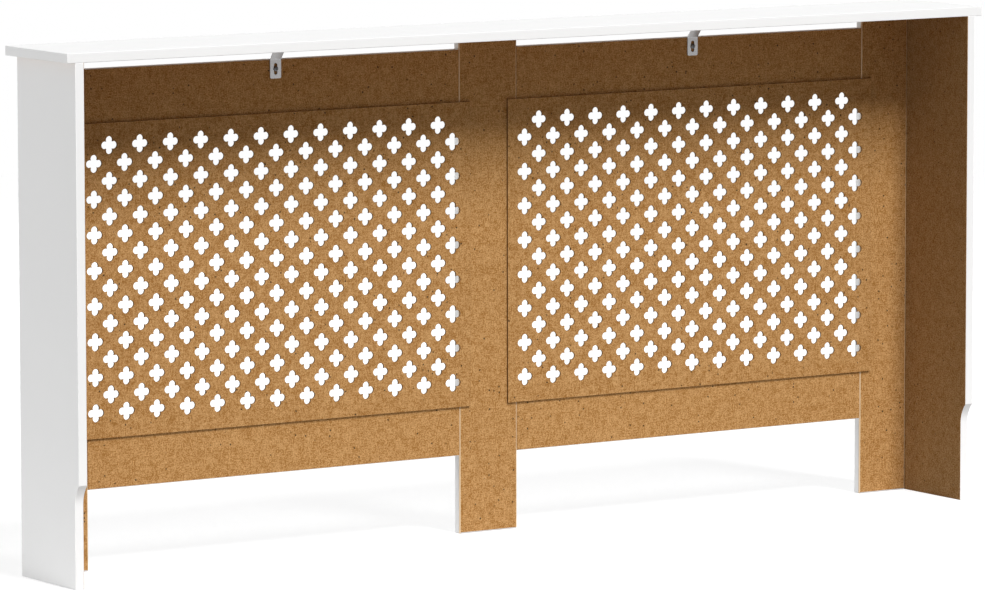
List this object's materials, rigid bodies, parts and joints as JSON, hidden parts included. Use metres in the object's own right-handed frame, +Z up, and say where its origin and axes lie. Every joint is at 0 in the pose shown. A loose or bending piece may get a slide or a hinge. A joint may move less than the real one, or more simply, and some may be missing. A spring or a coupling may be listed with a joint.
{
  "type": "radiator cover",
  "caption": "Long, low radiator cover with a shelf top, side panels notched for a skirting board, and a framed front with pierced quatrefoil grilles; open at the back and at the foot.",
  "frame": {"origin": "on the floor, below the middle of the shelf", "axes": "+X along the length, to the right of a person who stands in front; +Y to the rear, towards the wall; +Z up. The grilled front faces -Y."},
  "size_m": [1.72, 0.19, 0.815],
  "materials": {
    "painted_board": "white satin paint on fibreboard, bare brown board on the hidden faces",
    "painted_hardboard": "white satin paint on the front, bare brown board behind and inside the holes",
    "zinc_steel": "zinc plated",
    "dowel_wood": "bare beech"
  },
  "bodies": {
    "root": {"centre_stile": "painted_board", "left_bottom_rail": "painted_board", "left_bottom_rail_inner_lower_dowel": "dowel_wood", "left_bottom_rail_inner_upper_dowel": "dowel_wood", "left_bottom_rail_outer_lower_dowel": "dowel_wood", "left_bottom_rail_outer_upper_dowel": "dowel_wood", "left_bracket": "zinc_steel", "left_grille": "painted_hardboard", "left_rail_screw": "painted_board", "left_shelf_front_dowel": "dowel_wood", "left_shelf_rear_dowel": "dowel_wood", "left_shelf_screw": "painted_board", "left_side_dowel_1": "dowel_wood", "left_side_dowel_2": "dowel_wood", "left_side_dowel_3": "dowel_wood", "left_side_panel": "painted_board", "left_stile": "painted_board", "left_top_rail": "painted_board", "left_top_rail_inner_lower_dowel": "dowel_wood", "left_top_rail_inner_upper_dowel": "dowel_wood", "left_top_rail_outer_lower_dowel": "dowel_wood", "left_top_rail_outer_upper_dowel": "dowel_wood", "right_bottom_rail": "painted_board", "right_bottom_rail_inner_lower_dowel": "dowel_wood", "right_bottom_rail_inner_upper_dowel": "dowel_wood", "right_bottom_rail_outer_lower_dowel": "dowel_wood", "right_bottom_rail_outer_upper_dowel": "dowel_wood", "right_bracket": "zinc_steel", "right_grille": "painted_hardboard", "right_rail_screw": "painted_board", "right_shelf_front_dowel": "dowel_wood", "right_shelf_rear_dowel": "dowel_wood", "right_shelf_screw": "painted_board", "right_side_dowel_1": "dowel_wood", "right_side_dowel_2": "dowel_wood", "right_side_dowel_3": "dowel_wood", "right_side_panel": "painted_board", "right_stile": "painted_board", "right_top_rail": "painted_board", "right_top_rail_inner_lower_dowel": "dowel_wood", "right_top_rail_inner_upper_dowel": "dowel_wood", "right_top_rail_outer_lower_dowel": "dowel_wood", "right_top_rail_outer_upper_dowel": "dowel_wood", "top_shelf": "painted_board"}
  },
  "joints": []
}
